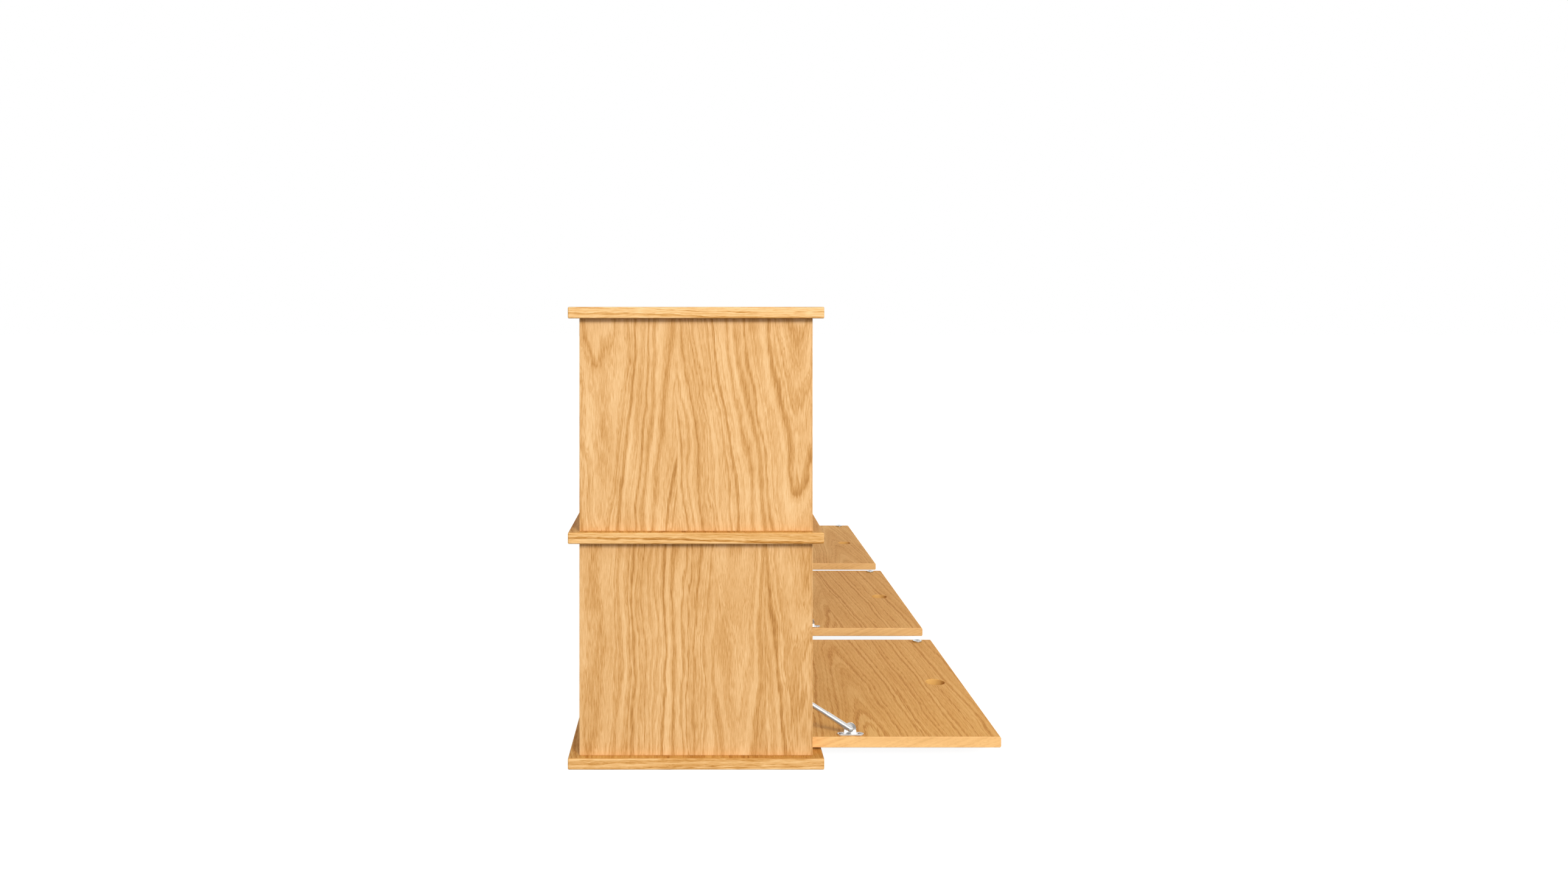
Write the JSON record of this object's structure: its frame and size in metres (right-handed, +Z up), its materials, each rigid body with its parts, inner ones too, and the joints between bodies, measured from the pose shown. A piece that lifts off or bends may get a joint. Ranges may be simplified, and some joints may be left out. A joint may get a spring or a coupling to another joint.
{
  "type": "shoe cabinet",
  "caption": "Long low oak cabinet in two tiers with overhanging boards and drop-down flap doors on telescopic stays, with finger holes and magnetic catches.",
  "frame": {"origin": "centre of the base board's underside, where the cabinet stands on the floor", "axes": "+X along the cabinet's length, towards its right end seen from the front; -Y out of the front, the way the flaps open; +Z up"},
  "size_m": [2.022, 0.723, 0.761],
  "materials": {
    "oak_veneer": "clear satin lacquer over crown-cut oak veneer",
    "oak_inside": "clear satin lacquer over oak veneer",
    "satin_metal": "satin nickel-white plating",
    "bright_steel": "bright nickel plating",
    "white_plastic": "moulded plastic housing with steel poles"
  },
  "bodies": {
    "carcass": {"base_board": "oak_veneer", "middle_board": "oak_veneer", "top_board": "oak_veneer", "end_panel_left_lower": "oak_veneer", "end_panel_right_lower": "oak_veneer", "back_panel_lower": "oak_inside", "pivot_rod_lower": "bright_steel", "partition_lower_1": "oak_veneer", "partition_lower_2": "oak_veneer", "wall_bracket_lower_1": "satin_metal", "catch_magnet_lower_1": "white_plastic", "wall_bracket_lower_2": "satin_metal", "catch_magnet_lower_2": "white_plastic", "wall_bracket_lower_3": "satin_metal", "catch_magnet_lower_3": "white_plastic", "end_panel_left_upper": "oak_veneer", "end_panel_right_upper": "oak_veneer", "back_panel_upper": "oak_inside", "pivot_rod_upper": "bright_steel", "partition_upper_1": "oak_veneer", "partition_upper_2": "oak_veneer", "wall_bracket_upper_1": "satin_metal", "catch_magnet_upper_1": "white_plastic", "wall_bracket_upper_2": "satin_metal", "catch_magnet_upper_2": "white_plastic", "wall_bracket_upper_3": "satin_metal", "catch_magnet_upper_3": "white_plastic"},
    "door_lower_1": {"door_lower_1": "oak_inside", "strike_disc_lower_1": "bright_steel", "door_bracket_lower_1": "satin_metal"},
    "stay_cylinder_lower_1": {"stay_cylinder_lower_1": "satin_metal"},
    "stay_piston_lower_1": {"stay_piston_lower_1": "bright_steel"},
    "door_lower_2": {"door_lower_2": "oak_inside", "strike_disc_lower_2": "bright_steel", "door_bracket_lower_2": "satin_metal"},
    "stay_cylinder_lower_2": {"stay_cylinder_lower_2": "satin_metal"},
    "stay_piston_lower_2": {"stay_piston_lower_2": "bright_steel"},
    "door_lower_3": {"door_lower_3": "oak_inside", "strike_disc_lower_3": "bright_steel", "door_bracket_lower_3": "satin_metal"},
    "stay_cylinder_lower_3": {"stay_cylinder_lower_3": "satin_metal"},
    "stay_piston_lower_3": {"stay_piston_lower_3": "bright_steel"},
    "door_upper_1": {"door_upper_1": "oak_inside", "strike_disc_upper_1": "bright_steel", "door_bracket_upper_1": "satin_metal"},
    "stay_cylinder_upper_1": {"stay_cylinder_upper_1": "satin_metal"},
    "stay_piston_upper_1": {"stay_piston_upper_1": "bright_steel"},
    "door_upper_2": {"door_upper_2": "oak_inside", "strike_disc_upper_2": "bright_steel", "door_bracket_upper_2": "satin_metal"},
    "stay_cylinder_upper_2": {"stay_cylinder_upper_2": "satin_metal"},
    "stay_piston_upper_2": {"stay_piston_upper_2": "bright_steel"},
    "door_upper_3": {"door_upper_3": "oak_inside", "strike_disc_upper_3": "bright_steel", "door_bracket_upper_3": "satin_metal"},
    "stay_cylinder_upper_3": {"stay_cylinder_upper_3": "satin_metal"},
    "stay_piston_upper_3": {"stay_piston_upper_3": "bright_steel"}
  },
  "joints": [
    {"name": "door_lower_1_flap", "type": "hinge", "parent": "carcass", "child": "door_lower_1", "pos_m": [-0.678, -0.174, 0.031], "axis": [-1, 0, 0], "range_deg": [0, 90]},
    {"name": "stay_lower_1_swing", "type": "hinge", "parent": "door_lower_1", "child": "stay_cylinder_lower_1", "pos_m": [-0.9612, -0.2604, 0.0495], "axis": [-1, 0, 0], "range_deg": [-89.63, 0]},
    {"name": "stay_lower_1_stroke", "type": "slide", "parent": "stay_cylinder_lower_1", "child": "stay_piston_lower_1", "axis": [0, 0.8443, 0.5358], "range_m": [-0.12497, 0]},
    {"name": "door_lower_2_flap", "type": "hinge", "parent": "carcass", "child": "door_lower_2", "pos_m": [0, -0.174, 0.031], "axis": [-1, 0, 0], "range_deg": [0, 90]},
    {"name": "stay_lower_2_swing", "type": "hinge", "parent": "door_lower_2", "child": "stay_cylinder_lower_2", "pos_m": [-0.2832, -0.2604, 0.0495], "axis": [-1, 0, 0], "range_deg": [-89.63, 0]},
    {"name": "stay_lower_2_stroke", "type": "slide", "parent": "stay_cylinder_lower_2", "child": "stay_piston_lower_2", "axis": [0, 0.8443, 0.5358], "range_m": [-0.12497, 0]},
    {"name": "door_lower_3_flap", "type": "hinge", "parent": "carcass", "child": "door_lower_3", "pos_m": [0.678, -0.174, 0.031], "axis": [-1, 0, 0], "range_deg": [0, 90]},
    {"name": "stay_lower_3_swing", "type": "hinge", "parent": "door_lower_3", "child": "stay_cylinder_lower_3", "pos_m": [0.3948, -0.2604, 0.0495], "axis": [-1, 0, 0], "range_deg": [-89.63, 0]},
    {"name": "stay_lower_3_stroke", "type": "slide", "parent": "stay_cylinder_lower_3", "child": "stay_piston_lower_3", "axis": [0, 0.8443, 0.5358], "range_m": [-0.12497, 0]},
    {"name": "door_upper_1_flap", "type": "hinge", "parent": "carcass", "child": "door_upper_1", "pos_m": [-0.678, -0.174, 0.402], "axis": [1, 0, 0], "range_deg": [0, 90]},
    {"name": "stay_upper_1_swing", "type": "hinge", "parent": "door_upper_1", "child": "stay_cylinder_upper_1", "pos_m": [-0.9612, -0.1555, 0.4884], "axis": [1, 0, 0], "range_deg": [-89.63, 0]},
    {"name": "stay_upper_1_stroke", "type": "slide", "parent": "stay_cylinder_upper_1", "child": "stay_piston_upper_1", "axis": [0, 0.8478, 0.5302], "range_m": [0, 0.12497]},
    {"name": "door_upper_2_flap", "type": "hinge", "parent": "carcass", "child": "door_upper_2", "pos_m": [0, -0.174, 0.402], "axis": [1, 0, 0], "range_deg": [0, 90]},
    {"name": "stay_upper_2_swing", "type": "hinge", "parent": "door_upper_2", "child": "stay_cylinder_upper_2", "pos_m": [-0.2832, -0.1555, 0.4884], "axis": [1, 0, 0], "range_deg": [-89.63, 0]},
    {"name": "stay_upper_2_stroke", "type": "slide", "parent": "stay_cylinder_upper_2", "child": "stay_piston_upper_2", "axis": [0, 0.8478, 0.5302], "range_m": [0, 0.12497]},
    {"name": "door_upper_3_flap", "type": "hinge", "parent": "carcass", "child": "door_upper_3", "pos_m": [0.678, -0.174, 0.402], "axis": [1, 0, 0], "range_deg": [0, 90]},
    {"name": "stay_upper_3_swing", "type": "hinge", "parent": "door_upper_3", "child": "stay_cylinder_upper_3", "pos_m": [0.3948, -0.1555, 0.4884], "axis": [1, 0, 0], "range_deg": [-89.63, 0]},
    {"name": "stay_upper_3_stroke", "type": "slide", "parent": "stay_cylinder_upper_3", "child": "stay_piston_upper_3", "axis": [0, 0.8478, 0.5302], "range_m": [0, 0.12497]}
  ],
  "couplings": [
    {"joint": "stay_lower_1_swing", "follows": "door_lower_1_flap", "ratio": -0.9958},
    {"joint": "stay_lower_1_stroke", "follows": "door_lower_1_flap", "m_per_rad": -0.079545},
    {"joint": "stay_lower_2_swing", "follows": "door_lower_2_flap", "ratio": -0.9958},
    {"joint": "stay_lower_2_stroke", "follows": "door_lower_2_flap", "m_per_rad": -0.079545},
    {"joint": "stay_lower_3_swing", "follows": "door_lower_3_flap", "ratio": -0.9958},
    {"joint": "stay_lower_3_stroke", "follows": "door_lower_3_flap", "m_per_rad": -0.079545},
    {"joint": "stay_upper_1_swing", "follows": "door_upper_1_flap", "ratio": -0.9958},
    {"joint": "stay_upper_1_stroke", "follows": "door_upper_1_flap", "m_per_rad": 0.079545},
    {"joint": "stay_upper_2_swing", "follows": "door_upper_2_flap", "ratio": -0.9958},
    {"joint": "stay_upper_2_stroke", "follows": "door_upper_2_flap", "m_per_rad": 0.079545},
    {"joint": "stay_upper_3_swing", "follows": "door_upper_3_flap", "ratio": -0.9958},
    {"joint": "stay_upper_3_stroke", "follows": "door_upper_3_flap", "m_per_rad": 0.079545}
  ]
}
